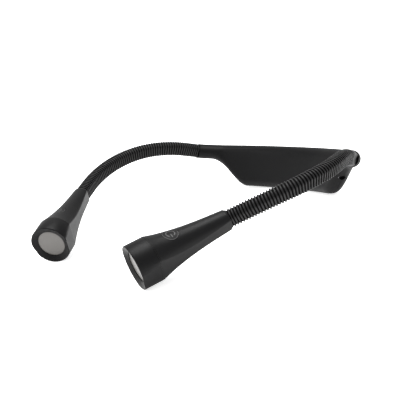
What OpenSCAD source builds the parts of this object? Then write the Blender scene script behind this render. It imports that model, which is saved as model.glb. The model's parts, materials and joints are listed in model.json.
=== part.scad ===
// Neck-worn reading light: a curved battery housing that hangs behind the neck, with two
// ribbed goosenecks that each carry a bell-shaped lamp head with its own power button.
// Z is up and the light faces -Y. The origin is the middle of the small flat foot under
// the housing, and the light stands on that foot and on the rims of its two heads.

/* [Housing] */
// Radius of the housing's curve, at the middle of its thickness
housing_r = 131; // [127:1:136]
// Half the distance between the two collars
collar_x = 72.6; // [71:0.2:74]
// Thickness of the housing, from the neck side to the back
housing_t = 12; // [11.6:0.1:12.4]
// Depth of the lobe below the middle of its round top edge
lobe_depth = 23.6; // [23:0.2:24]
// Half the width of the lobe where its lower edge starts to rise
lobe_flat_x = 39; // [37:1:41]
// Half the width of the lobe where its lower edge meets the round ends
lobe_end_x = 65; // [63:1:66]
// Radius of the round ends and of the top edge
end_r = 5.3; // [5.2:0.1:5.5]
// Thickness of the moulded walls
wall = 1.5; // [1.4:0.1:1.6]
// Backward lean of the housing when the light stands on a table
lean = 13.9; // [13.4:0.1:14.4]
// Height of the collars above the table
collar_h = 29.8; // [29.6:0.1:30]

/* [Goosenecks] */
// Upward tilt of the collars, from the housing's own level
collar_up = 11; // [8:1:14]
// Outward turn of the collars
collar_out = 5; // [2:1:8]
// Distance between two flexing points of a gooseneck
link_len = 21.2; // [20.6:0.2:22]
// Sleeve diameter at the housing
sleeve_d_rear = 9.8; // [9.6:0.1:10]
// Sleeve diameter at the head
sleeve_d_front = 10.4; // [10.2:0.1:10.6]
// Distance between two ribs of the sleeve
rib_pitch = 1.62; // [1.5:0.02:1.7]
// Height of the ribs
rib_h = 0.5; // [0.3:0.05:0.6]
// Length of the smooth cuff at the collar end of a sleeve
cuff_len = 9; // [6:0.5:12]
// Distance of the sleeve's side flats from its axis, as a share of its radius
sleeve_flat = 0.78; // [0.76:0.01:0.9]
// Largest bend at one flexing point
max_bend = 30; // [20:1:30]
// Diameter of the bendable wire core
core_d = 3; // [2.4:0.1:3.2]
// Downward and outward bend at each flexing point of the left gooseneck, from the collar
left_bends = [[5, 26], [21, -9], [10.5, -24], [14, -22], [7, -7.5], [-16, 20.5]];
// Downward and outward bend at each flexing point of the right gooseneck, from the collar
right_bends = [[4.35, 7], [12, 7], [14, -6], [11, -19], [7, -18], [1, -5]];
// Outward twist of the left and the right gooseneck with its head
twist = [-2, -14];

/* [Heads] */
// Diameter of the lit face
face_d = 25; // [24.6:0.1:25.4]
// Length of a head
head_len = 57; // [56:0.5:58]
// Diameter of the rear lip of a head
head_rear_d = 11.8; // [11.6:0.1:12.2]
// Length of the front cap
cap_len = 11.5; // [11:0.1:12]
// Distance of the head's side flats from its axis, at the rear lip and at the face
head_flat = [4.6, 11.5];
// Angle between the top of a head and the middle of each side flat
flat_angle = 100; // [96:1:104]
// Diameter of the power button
button_d = 9; // [8.6:0.1:9.2]
// Distance of the button's middle from the rear lip
button_z = 33; // [32.6:0.1:33.4]
// Travel of the power button
button_travel = 0.5; // [0.3:0.1:0.5]
// Diameter of the visible lens
lens_d = 17; // [16.6:0.1:17.2]

/* [Charging port] */
// Sideways distance of the port from the middle, in the sloping end of the lobe
port_x = 54; // [53:0.2:55]
// Diameter of the port's round mouth
port_d = 3.8; // [3.6:0.1:4]

/* [Hidden] */
$fn = 64;
far = 200;
gap = 0.02;
sides = ["left", "right"];
flex_points = len(left_bends);
links = flex_points - 1;
// Flexing points: a ball on one piece turns in the socket of the next
bend_clearance = 0.385;
half_gap = (sleeve_d_front / 2 * sin(max_bend) + bend_clearance) / (1 + cos(max_bend));
ball_r = 3.2;
socket_r = ball_r + 0.15;
core_r = core_d / 2;
bore_r = core_r + gap;
rib_w = rib_pitch * 0.55;
// Housing
foot_y = 21.4;
elbow = 4;
elbow_at = [collar_x - elbow * sin(collar_out),
            elbow * cos(collar_out) * cos(collar_up),
            -elbow * cos(collar_out) * sin(collar_up)];
arc_y = elbow_at[1] - sqrt(pow(housing_r, 2) - pow(elbow_at[0], 2));
arc_half = asin(elbow_at[0] / housing_r);
edge_z = elbow_at[2];
lobe_corner = 5;
corner_steps = 5;
rise_steps = 10;
plug_r = end_r - 0.95;
plug_len = 3;
screw_places = [[-24.5, -1.5], [-15, -17.5], [15, -17.5], [24.5, -1.5]];
screw_r = 0.8;
screw_head_r = 1.5;
boss_r = 2.1;
port_seat = 1.2;
port_len = 6;
port_body_r = 2.5;
port_tilt = 180 - atan(lobe_bottom(port_x + 0.5, 0) - lobe_bottom(port_x - 0.5, 0));
// Heads
face_r = face_d / 2;
head_rear_r = head_rear_d / 2;
cap_z = head_len - cap_len;
flare_steps = 14;
flat_tilt = atan((head_flat[1] - head_flat[0]) / head_len);
button_r = button_d / 2;
button_lean = atan((flare_r(button_z + 1) - flare_r(button_z - 1)) / 2);
button_depth = 4;
lens_z = head_len - 3.4;
led_z = cap_z - 4.9;

housing_nodes = ["inner_shell", "outer_shell", "collar_left", "collar_right", "battery",
                 "main_board", "board_parts", "charge_port", "housing_screws"];
head_parts = ["bell", "front_cap", "lens", "reflector", "led_board", "led_chips",
              "led_screws", "button", "switch_board", "tact_switch"];

// ---- Formulas ----

// An S-curve from 0 to 1
function ease(t) = let (c = max(0, min(1, t))) c * c * (3 - 2 * c);

// Outer radius of the bell at a distance z from its rear lip
function flare_r(z) = let (t = z / cap_z)
    head_rear_r + (face_r - head_rear_r) * (t + pow(t, 3)) / 2;

// Lower edge of the lobe at a distance x from the middle, just below its flat bottom there
function lobe_bottom(x, inset) =
    edge_z - end_r + inset
    - (lobe_depth - end_r + 0.3)
    * ease((lobe_end_x - inset - abs(x)) / (lobe_end_x - lobe_flat_x));

function sleeve_r(i) =
    (sleeve_d_rear + (sleeve_d_front - sleeve_d_rear) * (i - 0.5) / links) / 2;
function bends_of(side) = side == "left" ? left_bends : right_bends;
function twist_of(side) = side == "left" ? twist[0] : twist[1];

// ---- Frames ----

module housing_frame() {
    translate([0, -foot_y, collar_h])
        rotate([-lean, 0, 0])
            children();
}

// A place on the housing's curve: x along it, y outwards to the back, z up
module on_curve(angle, z = 0) {
    housing_frame()
        translate([0, arc_y, z])
            rotate([0, 0, -angle])
                translate([0, housing_r, 0])
                    children();
}

// z out of the charging port, on the parting line of the lobe's sloping end
module port_frame() {
    housing_frame()
        translate([port_x, arc_y + sqrt(pow(housing_r, 2) - pow(port_x, 2)),
                   lobe_bottom(port_x, 0)])
            rotate([0, port_tilt, 0])
                children();
}

// z along the gooseneck as it leaves its collar, y up
module collar_frame(side) {
    housing_frame()
        mirror([side == "left" ? 0 : 1, 0, 0])
            translate([collar_x, 0, 0])
                rotate([90 - collar_up, 0, 0])
                    rotate([0, collar_out, 0])
                        children();
}

// z along the gooseneck as it leaves flexing point i, where the first is in the collar
module link_frame(side, i) {
    bend = bends_of(side)[i - 1];
    if (i == 1)
        collar_frame(side)
            translate([0, 0, half_gap])
                rotate([bend[0], 0, 0])
                    rotate([0, bend[1], 0])
                        children();
    else
        link_frame(side, i - 1)
            translate([0, 0, link_len])
                rotate([bend[0], 0, 0])
                    rotate([0, bend[1], 0])
                        children();
}

// z from the rear lip to the face, y towards the button
module head_frame(side) {
    link_frame(side, flex_points)
        translate([0, 0, half_gap])
            rotate([0, 0, -twist_of(side)])
                children();
}

// z out of the button, with the origin on the bell's surface
module button_frame(side) {
    head_frame(side)
        translate([0, flare_r(button_z), button_z])
            rotate([-90 - button_lean, 0, 0])
                children();
}

// ---- Shared shapes ----

module round_rect(low, high, corner) {
    middles = [[high[0] - corner, high[1] - corner], [low[0] + corner, high[1] - corner],
               [low[0] + corner, low[1] + corner], [high[0] - corner, low[1] + corner]];
    polygon([for (q = [0 : 3], k = [0 : corner_steps])
        let (a = 90 * (q + k / corner_steps))
            middles[q] + corner * [cos(a), sin(a)]]);
}

module ring(outer, inner, height) {
    difference() {
        cylinder(r = outer, h = height);
        translate([0, 0, -1])
            cylinder(r = inner, h = height + 2);
    }
}

// Sweeps a profile of radius and height along the housing's curve
module sweep_curve(half) {
    translate([0, arc_y, 0])
        rotate([0, 0, 90 - half])
            rotate_extrude(angle = 2 * half, $fn = 120)
                children();
}

// The lobe seen from the front: flat below, rising in an S-curve to the round ends
module lobe_outline(inset) {
    end = lobe_end_x - inset;
    rise = lobe_end_x - lobe_flat_x;
    xs = [for (k = [0 : rise_steps]) end - rise * k / rise_steps];
    polygon(concat(
        [for (x = xs) [-x, lobe_bottom(x, inset)]],
        [for (k = [0 : rise_steps]) let (x = xs[rise_steps - k]) [x, lobe_bottom(x, inset)]],
        [[end, far], [-end, far]]));
}

module lobe(inset) {
    low = [housing_r - housing_t / 2 + inset, edge_z - lobe_depth + inset];
    high = [housing_r + housing_t / 2 - inset, edge_z + end_r - inset];
    intersection() {
        sweep_curve(arc_half)
            round_rect(low, high, lobe_corner - inset);
        translate([0, far / 2, 0])
            rotate([90, 0, 0])
                linear_extrude(far)
                    lobe_outline(inset);
    }
}

// A round end: straight on from the lobe, then an elbow that faces the gooseneck
module round_end(r, extra = 0) {
    run = elbow_at[0] - lobe_end_x + 3;
    for (m = [0, 1])
        mirror([m, 0, 0])
            translate(elbow_at) {
                rotate([0, -90, 0])
                    rotate([-arc_half, 0, 0])
                        cylinder(r = r, h = run / cos(arc_half), $fn = 40);
                sphere(r = r + 0.2, $fn = 40);
                rotate([90 - collar_up, 0, 0])
                    rotate([0, collar_out, 0])
                        cylinder(r = r, h = elbow + extra, $fn = 40);
            }
}

module housing_form() {
    lobe(0);
    round_end(end_r - 0.1);
}

module housing_hollow() {
    lobe(wall);
    round_end(end_r - 1.2 * wall, 1);
}

// What lies on the neck side of the parting line, with the round ends
module neck_side() {
    translate([0, arc_y, -far / 2])
        cylinder(r = housing_r, h = far, $fn = 120);
    for (m = [0, 1])
        mirror([m, 0, 0])
            translate(elbow_at)
                rotate([90 - collar_up, 0, 0])
                    rotate([0, collar_out, 0])
                        cylinder(r = end_r + 1, h = elbow + 1);
}

// The port's mouth in the wall, and the seat behind it for the port's body
module port_cut() {
    port_frame() {
        translate([0, 0, -port_seat - 1])
            cylinder(r = port_d / 2, h = port_seat + 5);
        translate([0, 0, -port_seat - port_len - 1])
            cylinder(r = port_body_r + gap, h = port_len + 1);
    }
}

module below_table() {
    translate([-far / 2, -far, -far])
        cube([far, 2 * far, far]);
}

// A circle with the two side flats
module sleeve_section(r) {
    difference() {
        circle(r = r);
        for (s = [-1, 1])
            rotate(s * flat_angle)
                translate([-r, r * sleeve_flat])
                    square([2 * r, r]);
    }
}

// What the head's side flats cut away
module head_flats(inset = 0) {
    for (s = [-1, 1])
        rotate([0, 0, s * flat_angle])
            translate([0, head_flat[0] - inset, 0])
                rotate([-flat_tilt, 0, 0])
                    translate([-far / 2, 0, -far / 2])
                        cube([far, far / 2, far]);
}

// The round outside of the bell, or its hollow where inset is the wall
module bell_form(inset, from_z) {
    zs = [for (k = [0 : flare_steps]) from_z + (cap_z - from_z) * k / flare_steps];
    rotate_extrude()
        polygon(concat(
            [[0, from_z]],
            [for (z = zs) [flare_r(z) - inset, z]],
            [[0, cap_z]]));
}

// ---- Housing ----

module inner_shell() {
    color([0.13, 0.13, 0.14])
        difference() {
            union() {
                difference() {
                    housing_frame()
                        intersection() {
                            housing_form();
                            neck_side();
                        }
                    housing_frame()
                        housing_hollow();
                }
                for (p = screw_places)
                    on_curve(p[0], p[1])
                        rotate([90, 0, 0])
                            cylinder(r = boss_r, h = housing_t / 2 - wall / 2);
            }
            for (p = screw_places)
                on_curve(p[0], p[1])
                    rotate([90, 0, 0])
                        translate([0, 0, -1])
                            cylinder(r = screw_r + gap, h = housing_t / 2 - wall + 1);
            for (s = sides)
                collar_frame(s)
                    translate([0, 0, -plug_len])
                        cylinder(r = plug_r + gap, h = plug_len + 2);
            port_cut();
            below_table();
        }
}

module outer_shell() {
    color([0.12, 0.12, 0.13])
        difference() {
            union() {
                difference() {
                    housing_frame()
                        difference() {
                            housing_form();
                            neck_side();
                        }
                    housing_frame()
                        housing_hollow();
                }
                for (p = screw_places)
                    on_curve(p[0], p[1])
                        rotate([-90, 0, 0])
                            translate([0, 0, gap])
                                cylinder(r = boss_r, h = housing_t / 2 - wall / 2);
            }
            for (p = screw_places)
                on_curve(p[0], p[1])
                    rotate([-90, 0, 0]) {
                        translate([0, 0, -1])
                            cylinder(r = screw_r + gap, h = housing_t);
                        translate([0, 0, housing_t / 2 - 1.6])
                            cylinder(r = screw_head_r + 0.1, h = housing_t);
                    }
            port_cut();
            below_table();
        }
}

module housing_screws() {
    color([0.55, 0.56, 0.58])
        for (p = screw_places)
            on_curve(p[0], p[1])
                rotate([-90, 0, 0])
                    difference() {
                        union() {
                            translate([0, 0, -3.6])
                                cylinder(r = screw_r, h = housing_t / 2 + 2.2);
                            translate([0, 0, housing_t / 2 - 1.6])
                                cylinder(r = screw_head_r, h = 1);
                        }
                        translate([0, 0, housing_t / 2 - 1.1])
                            cylinder(r = 0.7, h = 2, $fn = 6);
                    }
}

// The plug in the end of the housing, with the ball that the gooseneck turns on
module collar(side) {
    color([0.08, 0.08, 0.09])
        collar_frame(side)
            difference() {
                union() {
                    translate([0, 0, -plug_len])
                        cylinder(r = plug_r, h = plug_len);
                    translate([0, 0, half_gap])
                        sphere(r = ball_r);
                }
                translate([0, 0, -plug_len - 1])
                    cylinder(r = bore_r, h = plug_len + half_gap + ball_r + 2);
            }
}

module battery() {
    color([0.70, 0.72, 0.75])
        on_curve(0, -13)
            translate([0, -1.1, 0])
                rotate([90, 0, 0])
                    translate([0, 0, -2.6])
                        linear_extrude(5.2)
                            round_rect([-24, -8], [24, 8], 2);
}

module main_board() {
    color([0.05, 0.32, 0.20])
        on_curve(16.5, -7.5)
            translate([-9.5, 0.2, -6.5])
                cube([19, 1, 13]);
}

module board_parts() {
    color([0.10, 0.10, 0.11])
        on_curve(16.5, -7.5)
            for (p = [[-7, 1, 4, 4], [-1.5, 2, 3, 2.4], [-7, -4, 2.4, 1.6], [3, 2.4, 2.4, 2.4]])
                translate([p[0], -1, p[1]])
                    cube([p[2], 1.2, p[3]]);
}

// A round charging socket with its pin, seated behind the wall
module charge_port() {
    color([0.20, 0.20, 0.21])
        port_frame()
            translate([0, 0, -port_seat - gap - port_len]) {
                ring(port_body_r, port_d / 2, port_len);
                cylinder(r = port_body_r, h = 1);
                cylinder(r = 0.6, h = port_len - 0.6);
            }
}

// ---- Goosenecks ----

// One flexing length of the ribbed silicone sleeve
module sleeve(side, i) {
    r = sleeve_r(i);
    body = link_len - 2 * half_gap;
    ribs = floor((body - rib_w) / rib_pitch);
    pitch = (body - rib_w) / ribs;
    cuff = i == 1 ? cuff_len : 0;
    first_rib = ceil(cuff / pitch);
    color([0.10, 0.10, 0.11])
        link_frame(side, i)
            rotate([0, 0, -twist_of(side)])
                difference() {
                    union() {
                        translate([0, 0, half_gap])
                            linear_extrude(body)
                                sleeve_section(r - rib_h);
                        if (i == 1)
                            translate([0, 0, half_gap])
                                linear_extrude(cuff - rib_w)
                                    sleeve_section(r);
                        for (k = [first_rib : ribs])
                            translate([0, 0, half_gap + k * pitch])
                                linear_extrude(rib_w)
                                    sleeve_section(r);
                        translate([0, 0, link_len])
                            sphere(r = ball_r);
                    }
                    sphere(r = socket_r);
                    cylinder(r = bore_r, h = 2 * link_len);
                }
}

// The bendable wire inside one length of the sleeve
module core(side, i) {
    from = socket_r + 0.2;
    to = link_len + sqrt(pow(ball_r, 2) - pow(core_r, 2)) - 0.1;
    color([0.60, 0.61, 0.63])
        link_frame(side, i)
            translate([0, 0, from])
                cylinder(r = core_r, h = to - from);
}

// ---- Heads ----

module bell(side) {
    ledge_z = led_z - 2;
    color([0.12, 0.12, 0.13])
        head_frame(side)
            difference() {
                bell_form(0, 0);
                difference() {
                    bell_form(wall, 8);
                    head_flats(wall);
                    translate([0, 0, ledge_z])
                        ring(face_r, 6.3, 2);
                }
                head_flats();
                translate([0, 0, -half_gap])
                    sphere(r = socket_r);
                cylinder(r = 1, h = 10);
                difference() {
                    cylinder(r = head_rear_r + 1, h = 0.5);
                    cylinder(r1 = head_rear_r - 0.5, r2 = head_rear_r, h = 0.5);
                }
                for (y = [-7.1, 7.1])
                    translate([0, y, ledge_z + 0.4])
                        cylinder(r = 0.5 + gap, h = 2);
                translate([0, flare_r(button_z), button_z])
                    rotate([-90 - button_lean, 0, 0])
                        translate([0, 0, -button_depth])
                            cylinder(r = button_r + 0.15, h = 2 * button_depth);
            }
}

module front_cap(side) {
    color([0.11, 0.11, 0.12])
        head_frame(side)
            difference() {
                union() {
                    difference() {
                        rotate_extrude()
                            polygon([[0, cap_z], [face_r - 0.15, cap_z], [face_r, cap_z + 0.3],
                                     [face_r, head_len - 0.6], [face_r - 0.5, head_len],
                                     [0, head_len]]);
                        head_flats();
                    }
                    difference() {
                        translate([0, 0, cap_z - 2.8])
                            cylinder(r = flare_r(cap_z - 2.8) - wall - 0.1, h = 4);
                        head_flats(wall + 0.05);
                    }
                }
                difference() {
                    translate([0, 0, cap_z - 3])
                        cylinder(r = face_r - 3.3, h = lens_z + 1.42 - (cap_z - 3));
                    head_flats(2.2);
                }
                cylinder(r = lens_d / 2, h = head_len + 1);
                translate([0, 0, head_len - 1.7])
                    cylinder(r1 = lens_d / 2, r2 = face_r - 0.6, h = 1.71);
            }
}

module lens(side) {
    color([0.80, 0.79, 0.77])
        head_frame(side)
            translate([0, 0, lens_z])
                cylinder(r = lens_d / 2 + 0.3, h = 1.4);
}

module reflector(side) {
    depth = lens_z - led_z - 2.3;
    color([0.75, 0.76, 0.78])
        head_frame(side)
            translate([0, 0, led_z + 2.2])
                rotate_extrude()
                    polygon([[2.8, 0], [3.6, 0], [8.4, depth], [7.6, depth]]);
}

module led_board(side) {
    color([0.85, 0.86, 0.87])
        head_frame(side)
            translate([0, 0, led_z])
                difference() {
                    cylinder(r = 7.9, h = 1.5);
                    for (y = [-7.1, 7.1])
                        translate([0, y, -1])
                            cylinder(r = 0.55, h = 4);
                }
}

module led_chips(side) {
    color([0.95, 0.85, 0.45])
        head_frame(side)
            for (x = [-1.1, 1.1], y = [-1.1, 1.1])
                translate([x - 0.9, y - 0.9, led_z + 1.5])
                    cube([1.8, 1.8, 0.6]);
}

module led_screws(side) {
    color([0.55, 0.56, 0.58])
        head_frame(side)
            for (y = [-7.1, 7.1])
                translate([0, y, led_z - 1.5]) {
                    cylinder(r = 0.5, h = 3.2);
                    translate([0, 0, 3])
                        cylinder(r = 0.75, h = 0.5);
                }
}

// The key follows the bell's flare, with a round groove in its top and a retaining flange
module button(side) {
    color([0.14, 0.14, 0.15])
        difference() {
            union() {
                intersection() {
                    button_frame(side)
                        translate([0, 0, -button_depth])
                            cylinder(r = button_r, h = 2 * button_depth);
                    head_frame(side)
                        bell_form(0, 0);
                }
                button_frame(side)
                    translate([0, 0, -button_depth - 0.5])
                        cylinder(r = button_r + 0.4, h = 0.8);
            }
            difference() {
                button_frame(side)
                    translate([0, 0, -button_depth])
                        ring(3, 2.6, 2 * button_depth);
                head_frame(side)
                    bell_form(0.25, 0);
            }
        }
}

module switch_board(side) {
    color([0.05, 0.32, 0.20])
        button_frame(side)
            translate([-4.5, -3.8, -button_depth - 3.4])
                cube([9, 7.6, 0.8]);
}

module tact_switch(side) {
    color([0.20, 0.20, 0.21])
        button_frame(side)
            translate([0, 0, -button_depth - 2.6]) {
                translate([-1.8, -1.8, 0])
                    cube([3.6, 3.6, 1]);
                cylinder(r = 0.9, h = 1.9 - button_travel);
            }
}

// ---- Drawing ----

inner_shell();
outer_shell();
battery();
main_board();
board_parts();
charge_port();
housing_screws();

for (s = sides) {
    collar(s);
    for (i = [1 : links]) {
        sleeve(s, i);
        core(s, i);
    }
    bell(s);
    front_cap(s);
    lens(s);
    reflector(s);
    led_board(s);
    led_chips(s);
    led_screws(s);
    button(s);
    switch_board(s);
    tact_switch(s);
}
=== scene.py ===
import json
import math
import bpy
import numpy as np
from mathutils import Matrix, Vector


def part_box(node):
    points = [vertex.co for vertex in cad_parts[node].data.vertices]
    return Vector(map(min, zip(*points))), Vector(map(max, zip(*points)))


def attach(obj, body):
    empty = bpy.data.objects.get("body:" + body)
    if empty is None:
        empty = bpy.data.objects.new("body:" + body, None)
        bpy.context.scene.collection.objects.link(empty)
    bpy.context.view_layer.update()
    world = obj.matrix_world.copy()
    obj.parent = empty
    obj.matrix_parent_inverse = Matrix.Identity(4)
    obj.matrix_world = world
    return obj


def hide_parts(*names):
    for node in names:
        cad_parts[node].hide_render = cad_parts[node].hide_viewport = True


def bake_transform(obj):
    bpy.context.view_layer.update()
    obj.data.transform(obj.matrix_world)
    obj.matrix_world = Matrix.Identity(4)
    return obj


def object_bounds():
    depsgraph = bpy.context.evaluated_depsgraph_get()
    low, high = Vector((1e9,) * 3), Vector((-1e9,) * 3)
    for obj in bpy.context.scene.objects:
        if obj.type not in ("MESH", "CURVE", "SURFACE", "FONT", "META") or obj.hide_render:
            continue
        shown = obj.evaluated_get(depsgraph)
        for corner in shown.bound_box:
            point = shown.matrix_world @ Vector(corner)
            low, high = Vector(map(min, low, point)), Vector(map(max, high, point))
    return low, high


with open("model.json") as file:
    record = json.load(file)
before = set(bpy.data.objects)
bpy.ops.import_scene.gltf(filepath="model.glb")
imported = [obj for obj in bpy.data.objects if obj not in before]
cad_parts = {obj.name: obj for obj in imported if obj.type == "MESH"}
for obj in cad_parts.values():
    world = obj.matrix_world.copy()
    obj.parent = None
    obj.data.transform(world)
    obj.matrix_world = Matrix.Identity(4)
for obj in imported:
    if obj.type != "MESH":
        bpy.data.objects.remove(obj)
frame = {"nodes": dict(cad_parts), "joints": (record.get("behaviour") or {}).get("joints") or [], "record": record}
rest_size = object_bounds()

# ---- Sizes, in metres, and angles, in degrees ----

SIDES = ("left", "right")
HALF_GAP = 0.0016
HALF_LINK = 0.0106
RIBS_PER_LINK = 12
RIBS_AT_END = 7
RIB_H = 0.0007
RIB_PROFILE = ((0.0, 0), (0.17, 0.03), (0.27, 0.8), (0.38, 1), (0.62, 1), (0.73, 0.8), (0.83, 0.03))
# Painted shade: these faces of each rib, the groove between ribs, get a near-black material
PAINTED_SHADE_FACES = (0, 1, 5, 6)
COLLAR_GROOVE = 0.0012
SLEEVE_R = (0.0049, 0.0052)
SLEEVE_BORE = 0.0033
SLEEVE_FLAT = 0.78
FLAT_ANGLE = 100
COLLAR_UP, COLLAR_OUT = 11, 5
HOUSING_R = 0.131
HALF_T = 0.006
END_R, TOP_R = 0.0052, 0.0053
SEAM, SEAM_DEEP = 0.00012, 0.0002
LOBE_DEPTH = 0.0236
LOBE_FLAT_X, LOBE_END_X = 0.039, 0.065
LOBE_CORNER = 0.005
ELBOW, ELBOW_BACK = 0.004, 0.018
ELBOW_SKIN = 0.0022
HEAD_LEN, CAP_Z = 0.057, 0.0455
REAR_R, FACE_R, LENS_R = 0.0059, 0.0125, 0.0085
BELL_WALL, HOLLOW_FROM, BALL_HOLE_R = 0.0015, 0.008, 0.0034
LENS_RECESS, CAP_HOLE_R = 0.00195, 0.0091
LENS_HALF_T, LENS_RIM_R = 0.0007, 0.0087
FLAT_REAR, FLAT_FACE = 0.0046, 0.0115
BUTTON_R, BUTTON_GAP = 0.0045, 0.0001
KEY_R, FLANGE_R = 0.00448, 0.0049
SCREW_HOLE_R, SCREW_SINK = 0.0016, 0.0016
PORT_R, PORT_DEEP = 0.0019, 0.0062
FLOOR_HALF = 60.0
FOOT_CUT = ((-0.08, -0.03), (0.08, -0.03), (0.08, 0.02), (-0.08, 0.02))

joints = {j["name"]: j for j in frame["joints"]}
mounts = {m["name"]: m for m in frame["record"]["mounts"]}


# ---- Frames, worked out from the record and the CAD boxes ----

def unit(v):
    v = np.array(v, float)
    return v / np.linalg.norm(v)


def centre(node):
    low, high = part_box(node)
    return np.array((low + high) / 2, float)


def axes(origin, z, y):
    """A 4x4 frame with that z, and its y as close to the given one as it can be."""
    z = unit(z)
    y = unit(y - np.dot(y, z) * z)
    m = np.eye(4)
    m[:3, 0], m[:3, 1], m[:3, 2], m[:3, 3] = np.cross(y, z), y, z, origin
    return m


def turn_z(m, angle):
    c, s = math.cos(angle), math.sin(angle)
    r = np.eye(4)
    r[:2, :2] = ((c, -s), (s, c))
    return m @ r


def place(m, points):
    return np.asarray(points, float) @ m[:3, :3].T + m[:3, 3]


def flex(side, i):
    return np.array(joints[f"{side}_flex_{i}"]["pos_m"], float)


def ease(t):
    t = np.clip(t, 0, 1)
    return t * t * (3 - 2 * t)


back = -unit(mounts["neck_rest"]["axis"])
housing_up = np.cross((1, 0, 0), back)
collar_frames = {}
for side, sign in zip(SIDES, (1, -1)):
    up, out = math.radians(COLLAR_UP), math.radians(COLLAR_OUT)
    z = (np.array((sign * math.sin(out), 0, 0)) - math.cos(up) * math.cos(out) * back
         + math.sin(up) * math.cos(out) * housing_up)
    y = math.sin(up) * back + math.cos(up) * housing_up
    collar_frames[side] = axes(flex(side, 1) - HALF_GAP * z, z, y)
housing_origin = (collar_frames["left"][:3, 3] + collar_frames["right"][:3, 3]) / 2
housing = np.eye(4)
housing[:3, 0], housing[:3, 1], housing[:3, 2] = (1, 0, 0), back, housing_up
housing[:3, 3] = housing_origin

link_frames, head_frames, button_frames = {}, {}, {}


def flare_r(z):
    t = np.asarray(z, float) / CAP_Z
    return REAR_R + (FACE_R - REAR_R) * (t + t ** 3) / 2


for side in SIDES:
    points = [flex(side, i) for i in range(1, 7)] + [centre(f"lens_{side}")]
    chain = [collar_frames[side]]
    for here, following in zip(points, points[1:]):
        z = unit(following - here)
        chain.append(axes(here, z, np.cross(z, chain[-1][:3, 0])))
    last = chain[-1]
    press = -np.array(joints[f"{side}_button_press"]["axis"], float)
    twist = math.atan2(-np.dot(press, last[:3, 0]), np.dot(press, last[:3, 1]))
    link_frames[side] = [turn_z(m, twist) for m in chain]
    head = turn_z(last, twist)
    head[:3, 3] += HALF_GAP * head[:3, 2]
    head_frames[side] = head
    into_head = np.linalg.inv(head)
    start = place(into_head, centre(f"switch_board_{side}"))
    step = into_head[:3, :3] @ press
    run = 0.0
    for _ in range(40):
        p = start + run * step
        run += float(flare_r(p[2])) - math.hypot(p[0], p[1])
    button_frames[side] = axes(place(head, start + run * step), press, -head[:3, 2])


# ---- Mesh helpers ----

def piece(name, verts, faces, material, body=None, sharp=35):
    mesh = bpy.data.meshes.new(name)
    mesh.from_pydata([tuple(v) for v in verts], [], [tuple(f) for f in faces])
    mesh.validate()
    obj = bpy.data.objects.new(name, mesh)
    bpy.context.scene.collection.objects.link(obj)
    mesh.materials.append(material)
    soften(mesh, sharp)
    if body:
        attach(obj, body)
    return obj


def soften(mesh, sharp):
    mesh.polygons.foreach_set("use_smooth", [True] * len(mesh.polygons))
    mesh.set_sharp_from_angle(angle=math.radians(sharp))
    mesh.update()


def loops_mesh(loops, closed):
    """Quads between loops of points. The ends are capped, or joined to each other where closed."""
    loops = np.asarray(loops, float)
    n, m = loops.shape[:2]
    verts = loops.reshape(-1, 3)
    faces = []
    for i in range(n if closed else n - 1):
        j = (i + 1) % n
        for k in range(m):
            q = (k + 1) % m
            faces.append((i * m + k, i * m + q, j * m + q, j * m + k))
    if not closed:
        faces.append(tuple(reversed(range(m))))
        faces.append(tuple(range((n - 1) * m, n * m)))
    return verts, faces


def cut(obj, *cutters):
    """Cuts the given (verts, faces) solids out of an object's mesh, for good."""
    for verts, faces in cutters:
        mesh = bpy.data.meshes.new("cutter")
        mesh.from_pydata([tuple(v) for v in verts], [], [tuple(f) for f in faces])
        tool = bpy.data.objects.new("cutter", mesh)
        bpy.context.scene.collection.objects.link(tool)
        modifier = obj.modifiers.new("cut", "BOOLEAN")
        modifier.operation = "DIFFERENCE"
        modifier.solver = "EXACT"
        modifier.object = tool
        graph = bpy.context.evaluated_depsgraph_get()
        result = bpy.data.meshes.new_from_object(obj.evaluated_get(graph))
        obj.modifiers.clear()
        obj.data = result
        bpy.data.objects.remove(tool)
        bpy.data.meshes.remove(mesh)


def prism(m, section, low, high):
    """A solid with that 2D section, from low to high along the frame's z."""
    loops = [[(x, y, z) for x, y in section] for z in (low, high)]
    return loops_mesh([place(m, loop) for loop in loops], False)


def circle(r, n=64):
    a = np.arange(n) * 2 * math.pi / n
    return [(r * math.cos(t), r * math.sin(t)) for t in a]


# ---- Materials ----

def material(name, colour, roughness, bump=0.0, scale=900.0, metallic=0.0, wear=0.06, **extra):
    m = bpy.data.materials.new(name)
    m.use_nodes = True
    tree = m.node_tree
    shader = tree.nodes["Principled BSDF"]
    shader.inputs["Base Color"].default_value = (*colour, 1)
    shader.inputs["Roughness"].default_value = roughness
    shader.inputs["Metallic"].default_value = metallic
    for key, value in extra.items():
        shader.inputs[key].default_value = value
    where = tree.nodes.new("ShaderNodeTexCoord")
    if wear:
        patches = tree.nodes.new("ShaderNodeTexNoise")
        patches.inputs["Scale"].default_value = scale / 12
        patches.inputs["Detail"].default_value = 6
        spread = tree.nodes.new("ShaderNodeMapRange")
        spread.inputs["To Min"].default_value = roughness - wear
        spread.inputs["To Max"].default_value = roughness + wear
        tree.links.new(where.outputs["Object"], patches.inputs["Vector"])
        tree.links.new(patches.outputs["Fac"], spread.inputs["Value"])
        tree.links.new(spread.outputs["Result"], shader.inputs["Roughness"])
    if bump:
        grain = tree.nodes.new("ShaderNodeTexNoise")
        grain.inputs["Scale"].default_value = scale
        grain.inputs["Detail"].default_value = 3
        raised = tree.nodes.new("ShaderNodeBump")
        raised.inputs["Strength"].default_value = bump
        raised.inputs["Distance"].default_value = 0.0001
        tree.links.new(where.outputs["Object"], grain.inputs["Vector"])
        tree.links.new(grain.outputs["Fac"], raised.inputs["Height"])
        tree.links.new(raised.outputs["Normal"], shader.inputs["Normal"])
    return m


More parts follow.
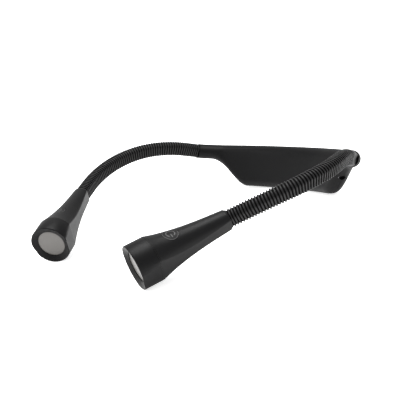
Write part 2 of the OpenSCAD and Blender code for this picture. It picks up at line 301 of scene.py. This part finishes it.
SHEEN = "Specular IOR Level"
body_plastic = material("body_plastic", (0.002, 0.002, 0.0022), 0.48, 0.25, 2200, **{SHEEN: 0.1})
head_plastic = material("head_plastic", (0.0032, 0.0032, 0.0034), 0.38, 0.25, 2200, **{SHEEN: 0.14})
cap_plastic = material("cap_plastic", (0.003, 0.003, 0.0032), 0.42, 0.2, 2200, **{SHEEN: 0.12})
key_plastic = material("key_plastic", (0.0032, 0.0032, 0.0034), 0.38, 0.15, 2600, **{SHEEN: 0.14})
glyph_paint = material("glyph_paint", (0.045, 0.045, 0.045), 0.5, 0.1, 3000)
silicone = material("silicone", (0.006, 0.006, 0.0062), 0.42, 0.3, 1800, wear=0.08, **{SHEEN: 0.26})
# Painted shade: a near-black, hardly reflective material for the rib grooves and the gap at the collar, where
# shade falls
groove_painted_shade = material("groove_painted_shade", (0.0012, 0.0012, 0.0012), 0.7, 0.2, 1800, **{SHEEN: 0.05})
# Painted highlight: a lighter grey ring standing in for the light caught on the key's edge
edge_highlight_paint = material("edge_highlight_paint", (0.022, 0.022, 0.022), 0.45, 0.1, 3000)
collar_plastic = material("collar_plastic", (0.0015, 0.0015, 0.0015), 0.5, 0.2, 2000, **{SHEEN: 0.08})
lens_frost = material("lens_frost", (0.085, 0.08, 0.074), 0.32, 0.35, 1500)
plain = {
    "core_wire": material("core_wire", (0.5, 0.5, 0.52), 0.35, 0.1, 1500, metallic=1.0),
    "battery_foil": material("battery_foil", (0.6, 0.61, 0.63), 0.3, 0.2, 700, metallic=1.0),
    "circuit_board": material("circuit_board", (0.02, 0.14, 0.07), 0.4, 0.1, 1500),
    "chip_plastic": material("chip_plastic", (0.02, 0.02, 0.02), 0.5, 0.1, 1500),
    "port_metal": material("port_metal", (0.16, 0.16, 0.17), 0.35, 0.1, 1500, metallic=1.0),
    "screw_steel": material("screw_steel", (0.4, 0.4, 0.42), 0.35, 0.1, 1500, metallic=1.0),
    "reflector_metal": material("reflector_metal", (0.8, 0.8, 0.8), 0.12, 0.05, 900,
                                metallic=1.0, wear=0.03),
    "led_board_metal": material("led_board_metal", (0.7, 0.7, 0.72), 0.4, 0.1, 900),
    "led_phosphor": material("led_phosphor", (0.8, 0.6, 0.15), 0.5, 0.1, 900),
    "collar_plastic": collar_plastic,
}
slots = {s["node"]: s["material_slot"] for s in frame["record"]["subparts"]}
for node, obj in frame["nodes"].items():
    if slots[node] in plain:
        obj.data.materials.clear()
        obj.data.materials.append(plain[slots[node]])


# ---- Housing ----

def housing_path(half=70, bend=16):
    """Centre line points and directions from the middle to the left collar, in the housing's frame."""
    into = np.linalg.inv(housing)
    collar = collar_frames["left"]
    end = place(into, collar[:3, 3])
    forward = into[:3, :3] @ collar[:3, 2]
    corner = end - ELBOW * forward
    arc_y = corner[1] - math.sqrt(HOUSING_R ** 2 - corner[0] ** 2)
    reach = math.asin(corner[0] / HOUSING_R)
    points, tangents = [], []
    for a in np.linspace(0, reach - ELBOW_BACK / HOUSING_R, half):
        points.append((HOUSING_R * math.sin(a), arc_y + HOUSING_R * math.cos(a), corner[2]))
        tangents.append((math.cos(a), -math.sin(a), 0))
    first = np.array(points[-1])
    corner = end - ELBOW_SKIN * forward
    for t in np.linspace(0, 1, bend + 1)[1:]:
        points.append((1 - t) ** 2 * first + 2 * t * (1 - t) * corner + t * t * end)
        tangents.append(unit((1 - t) * (corner - first) + t * (end - corner)))
    return np.array(points), np.array(tangents)


def lobe_section(x, corner_points=9, side_points=5):
    """Thickness and height of the housing's outline at a distance x from the middle."""
    e = 1 - float(ease((LOBE_END_X - x) / (LOBE_END_X - LOBE_FLAT_X)))
    half = HALF_T + (END_R - HALF_T) * e
    top = TOP_R + (END_R - TOP_R) * e
    low = -LOBE_DEPTH + (LOBE_DEPTH - END_R) * e
    r = LOBE_CORNER + (END_R - LOBE_CORNER) * e
    deep = SEAM_DEEP * (1 - 0.5 * e)
    section = []
    corners = ((1, 1, 0), (-1, 1, 90), (-1, -1, 180), (1, -1, 270))
    for q, (sx, sz, a0) in enumerate(corners):
        cx, cz = sx * (half - r), (top - r if sz > 0 else low + r)
        for k in range(corner_points):
            a = math.radians(a0 + 90 * k / (corner_points - 1))
            section.append((cx + r * math.cos(a), cz + r * math.sin(a)))
        if q in (0, 2):
            edge, s = (top, 1) if q == 0 else (low, -1)
            section += [(s * SEAM, edge), (s * SEAM * 0.6, edge - s * deep),
                        (-s * SEAM * 0.6, edge - s * deep), (-s * SEAM, edge)]
        else:
            here, there = section[-1], (section[-1][0], low + r if q == 1 else top - r)
            for k in range(1, side_points + 1):
                t = k / (side_points + 1)
                section.append((here[0], here[1] + t * (there[1] - here[1])))
    return section


points, tangents = housing_path()
loops = []
for sign, order in ((-1, range(len(points) - 1, 0, -1)), (1, range(len(points)))):
    for i in order:
        p, t = points[i], tangents[i]
        up = unit(np.array((0, 0, 1.0)) - t[2] * t)
        out = np.cross(up, t)
        loop = [p + n * out + h * up for n, h in lobe_section(p[0])]
        if sign < 0:
            loop = [q * np.array((-1, 1, 1)) for q in loop]
        loops.append(place(housing, loop))
verts, faces = loops_mesh(loops, False)
shell = piece("housing_skin", verts, faces, body_plastic)

port = axes(mounts["charge_port"]["pos_m"], mounts["charge_port"]["axis"], back)
cutters = [prism(port, circle(PORT_R, 48), -PORT_DEEP, 0.003)]
screws = np.array([v.co for v in frame["nodes"]["housing_screws"].data.vertices], float)
screws = screws[np.argsort(screws[:, 0])]
gaps = np.where(np.diff(screws[:, 0]) > 0.004)[0] + 1
local = [np.linalg.inv(housing) @ np.append(g.mean(0), 1) for g in np.split(screws, gaps)]
arc_centre_y = points[0][1] - HOUSING_R
for g in local:
    out = unit((g[0], g[1] - arc_centre_y, 0))
    place_at = np.array((HOUSING_R * out[0], arc_centre_y + HOUSING_R * out[1], g[2]))
    m = housing @ axes(place_at, out, np.array((0, 0, 1.0)))
    cutters.append(prism(m, circle(SCREW_HOLE_R, 32), HALF_T - SCREW_SINK, HALF_T + 0.002))
cutters.append(prism(np.eye(4), FOOT_CUT, -0.01, 0.0))
cut(shell, *cutters)
soften(shell.data, 40)
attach(shell, "housing")
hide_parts("inner_shell", "outer_shell")


# ---- Goosenecks ----

def sleeve_angles():
    half = math.degrees(math.acos(SLEEVE_FLAT))
    a, b = FLAT_ANGLE - half, FLAT_ANGLE + half
    spans = ((-a, a, 16), (a, b, 7), (b, 360 - b, 12), (360 - b, 360 - a, 7))
    out = []
    for low, high, n in spans:
        out += list(np.linspace(low, high, n, endpoint=False))
    return np.radians(out)


ANGLES = sleeve_angles()
FLAT_SHARE = np.array([
    min([1.0] + [SLEEVE_FLAT / c for c in (math.cos(t - math.radians(s * FLAT_ANGLE)) for s in (1, -1))
                 if c > 0.2]) for t in ANGLES])


def sleeve_profile(ribs, groove, at_collar, cuff):
    """Places along a sleeve with the height of its surface there, as shares, and the faces that get painted shade:
    rib grooves and the collar gap.
    """
    profile = [(0.0, 0), (0.02, 0)] if at_collar else []
    lead = len(profile)
    if cuff:
        profile += [(groove, 0), (groove + 0.004, 0.9), (groove + 0.03, 1)]
        profile += [(w, 1) for w in np.linspace(groove + 0.06, 0.97, 16)]
        # At the collar, the gap faces before the cuff get painted shadow
        return profile + [(1.0, 1)], range(lead + 1)
    first = groove if at_collar else 0.0
    for k in range(ribs):
        profile += [(first + (1 - first) * (k + f) / ribs, h) for f, h in RIB_PROFILE]
    steps = len(RIB_PROFILE)
    # Groove faces of every rib get painted shade
    shade_faces = [lead + k for k in range(steps * ribs) if k % steps in PAINTED_SHADE_FACES]
    return profile + [(1.0, 0)], list(range(lead)) + shade_faces


def sleeve(side, i):
    """The stretch of sleeve across flexing point i. It follows both pieces that meet there."""
    a, b = link_frames[side][i - 1], link_frames[side][i]
    p = flex(side, i)
    before = HALF_GAP if i == 1 else HALF_LINK
    after = HALF_GAP if i == 6 else HALF_LINK
    p0, p2 = p - before * a[:3, 2], p + after * b[:3, 2]
    t = np.linspace(0, 1, 401)[:, None]
    line = (1 - t) ** 2 * p0 + 2 * t * (1 - t) * p + t * t * p2
    along = np.append(0, np.cumsum(np.linalg.norm(np.diff(line, axis=0), axis=1)))
    cuff = i == 1 and side == "left"
    ribs = RIBS_AT_END if i in (1, 6) else RIBS_PER_LINK
    profile, shade_faces = sleeve_profile(ribs, COLLAR_GROOVE / along[-1], i == 1, cuff)
    from_end = 0.0 if i == 1 else before + (i - 2) * 2 * HALF_LINK + HALF_GAP
    total = HALF_GAP * 2 + 10 * HALF_LINK
    loops = []
    for where, height in profile + [(w, None) for w in (1.0, 0.75, 0.5, 0.25, 0.0)]:
        s = np.interp(where, along / along[-1], t[:, 0])
        at = (1 - s) ** 2 * p0 + 2 * s * (1 - s) * p + s * s * p2
        tangent = (1 - s) * (p - p0) + s * (p2 - p)
        m = axes(at, tangent, (1 - where) * a[:3, 1] + where * b[:3, 1])
        share = min(1, (from_end + where * along[-1]) / total)
        outer = SLEEVE_R[0] + (SLEEVE_R[1] - SLEEVE_R[0]) * share
        if height is None:
            r = np.full(len(ANGLES), SLEEVE_BORE)
        else:
            r = (outer - RIB_H * (1 - height)) * FLAT_SHARE
        loops.append(place(m, np.stack((-r * np.sin(ANGLES), r * np.cos(ANGLES), 0 * r), 1)))
    verts, faces = loops_mesh(loops, True)
    obj = piece(f"sleeve_skin_{side}_{i}", verts, faces, body_plastic if cuff else silicone,
                sharp=60)
    # Second material slot: painted shade in the rib grooves and the collar gap
    obj.data.materials.append(groove_painted_shade)
    around = len(ANGLES)
    for k in shade_faces:
        for q in range(k * around, (k + 1) * around):
            obj.data.polygons[q].material_index = 1
    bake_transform(obj)
    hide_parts(f"sleeve_{side}_{min(i, 5)}")


# ---- Heads ----

HEAD_ANGLES = np.arange(240) * 2 * math.pi / 240


def head_loop(z, r, flats=True, inset=0.0, soft=0.00012):
    """One ring of a head's surface: a circle clipped by two side flats, with slightly soft edges."""
    radii = np.full(len(HEAD_ANGLES), float(r))
    if flats:
        distance = FLAT_REAR + (FLAT_FACE - FLAT_REAR) * z / HEAD_LEN - inset
        for s in (1, -1):
            c = np.cos(HEAD_ANGLES - math.radians(s * FLAT_ANGLE))
            flat = np.where(c > 0.2, distance / np.maximum(c, 0.2), 1.0)
            h = np.clip(0.5 + 0.5 * (flat - radii) / soft, 0, 1)
            radii = flat * (1 - h) + radii * h - soft * h * (1 - h)
    return np.stack((-radii * np.sin(HEAD_ANGLES), radii * np.cos(HEAD_ANGLES),
                     np.full(len(radii), float(z))), 1)


def bell(side):
    m = head_frames[side]
    rings = [head_loop(0.0, REAR_R - 0.0006), head_loop(0.00015, REAR_R - 0.0002)]
    for z in np.linspace(0.0005, CAP_Z - 0.00025, 60):
        rings.append(head_loop(z, flare_r(z)))
    rings.append(head_loop(CAP_Z - 0.00008, FACE_R - 0.00004))
    rings.append(head_loop(CAP_Z - 0.00002, FACE_R - 0.0001))
    for z in np.linspace(CAP_Z - 0.00002, HOLLOW_FROM, 12):
        rings.append(head_loop(z, flare_r(z) - BELL_WALL, inset=BELL_WALL))
    rings.append(head_loop(HOLLOW_FROM - 0.0002, BALL_HOLE_R, flats=False))
    rings.append(head_loop(0.0, BALL_HOLE_R, flats=False))
    verts, faces = loops_mesh([place(m, r) for r in rings], True)
    obj = piece(f"bell_skin_{side}", verts, faces, head_plastic)
    cut(obj, prism(button_frames[side], circle(BUTTON_R + BUTTON_GAP, 96), -0.004, 0.003))
    soften(obj.data, 35)
    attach(obj, f"{side}_head")
    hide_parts(f"bell_{side}")


def front_cap(side):
    m = head_frames[side]
    z1 = HEAD_LEN
    outline = [(CAP_Z + 0.00002, FACE_R - 0.00012), (CAP_Z + 0.00008, FACE_R - 0.00004),
               (CAP_Z + 0.0002, FACE_R), (z1 - 0.006, FACE_R), (z1 - 0.0006, FACE_R),
               (z1 - 0.00035, FACE_R - 0.00007), (z1 - 0.0001, FACE_R - 0.0003),
               (z1, FACE_R - 0.0006), (z1 - 0.00005, FACE_R - 0.0007),
               (z1 - 0.00165, LENS_R + 0.0001), (z1 - 0.00175, LENS_R), (z1 - LENS_RECESS, LENS_R)]
    rings = [head_loop(z, r) for z, r in outline]
    rings += [head_loop(z1 - LENS_RECESS, CAP_HOLE_R, flats=False),
              head_loop(CAP_Z + 0.00002, CAP_HOLE_R, flats=False)]
    verts, faces = loops_mesh([place(m, r) for r in rings], True)
    obj = piece(f"cap_skin_{side}", verts, faces, cap_plastic, f"{side}_head")
    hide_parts(f"front_cap_{side}")


def lens(side):
    m = axes(centre(f"lens_{side}"), head_frames[side][:3, 2], head_frames[side][:3, 1])
    outline = [(LENS_HALF_T, r) for r in (0.0015, 0.004, 0.0065, 0.0083)]
    outline += [(0.00055, LENS_RIM_R), (-LENS_HALF_T, LENS_RIM_R), (-LENS_HALF_T, 0.0015)]
    rings = [head_loop(z, r, flats=False) for z, r in reversed(outline)]
    verts, faces = loops_mesh([place(m, r) for r in rings], False)
    obj = piece(f"lens_skin_{side}", verts, faces, lens_frost, f"{side}_head")
    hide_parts(f"lens_{side}")


def on_bell(side, xy):
    """Heights in the button's frame at which points over the button meet the bell's surface."""
    m = np.linalg.inv(head_frames[side]) @ button_frames[side]
    xy = np.asarray(xy, float)
    h = np.zeros(len(xy))
    for _ in range(20):
        p = place(m, np.column_stack((xy, h)))
        h += (flare_r(p[:, 2]) - np.hypot(p[:, 0], p[:, 1])) * 0.9
    return h


def button(side):
    """The key, which follows the bell's surface, the power glyph on it, and a lighter ring round its edge as a
    painted highlight.
    """
    m = button_frames[side]
    n = 96
    loops = []
    drops = ((0.0005, 0), (0.0015, 0), (0.0025, 0), (0.0033, 0), (0.0039, 0), (0.00425, 0.00001),
             (0.0044, 0.00006), (KEY_R, 0.00018))
    for r, drop in drops:
        xy = circle(r, n)
        loops.append(np.column_stack((xy, on_bell(side, xy) - drop - 0.00003)))
    for r, z in ((KEY_R, -0.0036), (FLANGE_R, -0.0037), (FLANGE_R, -0.0045), (0.0005, -0.0045)):
        loops.append(np.column_stack((circle(r, n), np.full(n, z))))
    verts, faces = loops_mesh([place(m, loop) for loop in reversed(loops)], False)
    obj = piece(f"button_skin_{side}", verts, faces, key_plastic, f"{side}_button")
    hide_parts(f"button_{side}")
    bars = []
    # The second bar is a full ring at the key's edge, a painted highlight; the other bars are the power glyph
    for a0, a1, r0, r1 in ((35, 325, 0.0021, 0.0026), (0, 359.9, 0.0040, 0.0043)):
        a = np.radians(np.linspace(a0, a1, 60))
        inner = [(r0 * math.cos(t), r0 * math.sin(t)) for t in a]
        outer = [(r1 * math.cos(t), r1 * math.sin(t)) for t in a]
        bars.append((inner, outer))
    x = np.linspace(0.0004, 0.0029, 12)
    bars.append(([(t, -0.00022) for t in x], [(t, 0.00022) for t in x]))
    for k, (inner, outer) in enumerate(bars):
        edges = ((inner, -0.0002), (inner, 0.00002), (outer, 0.00002), (outer, -0.0002))
        rows = [[(*p, h + lift) for p, h in zip(line, on_bell(side, line))] for line, lift in edges]
        verts, faces = loops_mesh([place(m, section) for section in zip(*rows)], False)
        # The edge ring gets the painted-highlight grey, the glyph bars get the glyph paint
        glyph_or_highlight_paint = edge_highlight_paint if k == 1 else glyph_paint
        piece(f"glyph_{side}_{k}", verts, faces, glyph_or_highlight_paint, f"{side}_button")


for side in SIDES:
    for i in range(1, 7):
        sleeve(side, i)
    bell(side)
    front_cap(side)
    lens(side)
    button(side)


# ---- Floor, light and camera ----

def flat_piece(name, corners, mat):
    mesh = bpy.data.meshes.new(name)
    mesh.from_pydata(corners, [], [tuple(range(len(corners)))])
    obj = bpy.data.objects.new(name, mesh)
    bpy.context.scene.collection.objects.link(obj)
    mesh.materials.append(mat)
    return obj


floor_paint = material("floor_paint", (0.93, 0.93, 0.93), 0.9, wear=0, bump=0.02, scale=40)
paint = floor_paint.node_tree.nodes["Principled BSDF"].inputs
paint["Specular IOR Level"].default_value = 0.0
paint["Emission Color"].default_value = (1, 1, 1, 1)
paint["Emission Strength"].default_value = 0.7
F = FLOOR_HALF
floor = flat_piece("floor", [(-F, -F, 0), (F, -F, 0), (F, F, 0), (-F, F, 0)], floor_paint)

world = bpy.data.worlds.new("studio")
bpy.context.scene.world = world
world.use_nodes = True
sky = world.node_tree
sky.nodes["Background"].inputs["Color"].default_value = (1, 1, 1, 1)
direction = sky.nodes.new("ShaderNodeTexCoord")
split = sky.nodes.new("ShaderNodeSeparateXYZ")
height = sky.nodes.new("ShaderNodeMapRange")
height.interpolation_type = "SMOOTHSTEP"
for key, value in (("From Min", 0.09), ("From Max", 0.16), ("To Min", 1.2), ("To Max", 0.8)):
    height.inputs[key].default_value = value
sky.links.new(direction.outputs["Generated"], split.inputs["Vector"])
sky.links.new(split.outputs["Z"], height.inputs["Value"])
sky.links.new(height.outputs["Result"], sky.nodes["Background"].inputs["Strength"])


def area_light(name, where, target, size, power):
    data = bpy.data.lights.new(name, "AREA")
    data.shape = "RECTANGLE"
    data.size, data.size_y = size
    data.energy = power
    obj = bpy.data.objects.new(name, data)
    bpy.context.scene.collection.objects.link(obj)
    obj.location = where
    obj.rotation_euler = (Vector(target) - Vector(where)).to_track_quat("-Z", "Y").to_euler()


middle = tuple((rest_size[0] + rest_size[1]) / 2)
area_light("top", (0.0, -0.1, 0.9), middle, (0.6, 0.6), 10)
area_light("front", (-0.5, -0.9, 0.55), middle, (0.5, 0.5), 4)

CAMERA_AT = Vector((0.3762, -0.3643, 0.1385))
CAMERA_FORWARD = Vector((-0.7752, 0.5803, -0.2495)).normalized()
CAMERA_UP = Vector((0, 0.2402, 0.9707))
data = bpy.data.cameras.new("camera")
data.sensor_width, data.lens = 36, 70.3
data.clip_start, data.clip_end = 0.01, 60
data.dof.use_dof = False
camera = bpy.data.objects.new("camera", data)
bpy.context.scene.collection.objects.link(camera)
right = CAMERA_FORWARD.cross(CAMERA_UP).normalized()
up = right.cross(CAMERA_FORWARD)
camera.matrix_world = Matrix((
    (right.x, up.x, -CAMERA_FORWARD.x, CAMERA_AT.x),
    (right.y, up.y, -CAMERA_FORWARD.y, CAMERA_AT.y),
    (right.z, up.z, -CAMERA_FORWARD.z, CAMERA_AT.z),
    (0, 0, 0, 1)))
bpy.context.scene.camera = camera
bpy.context.scene.view_settings.view_transform = "Standard"
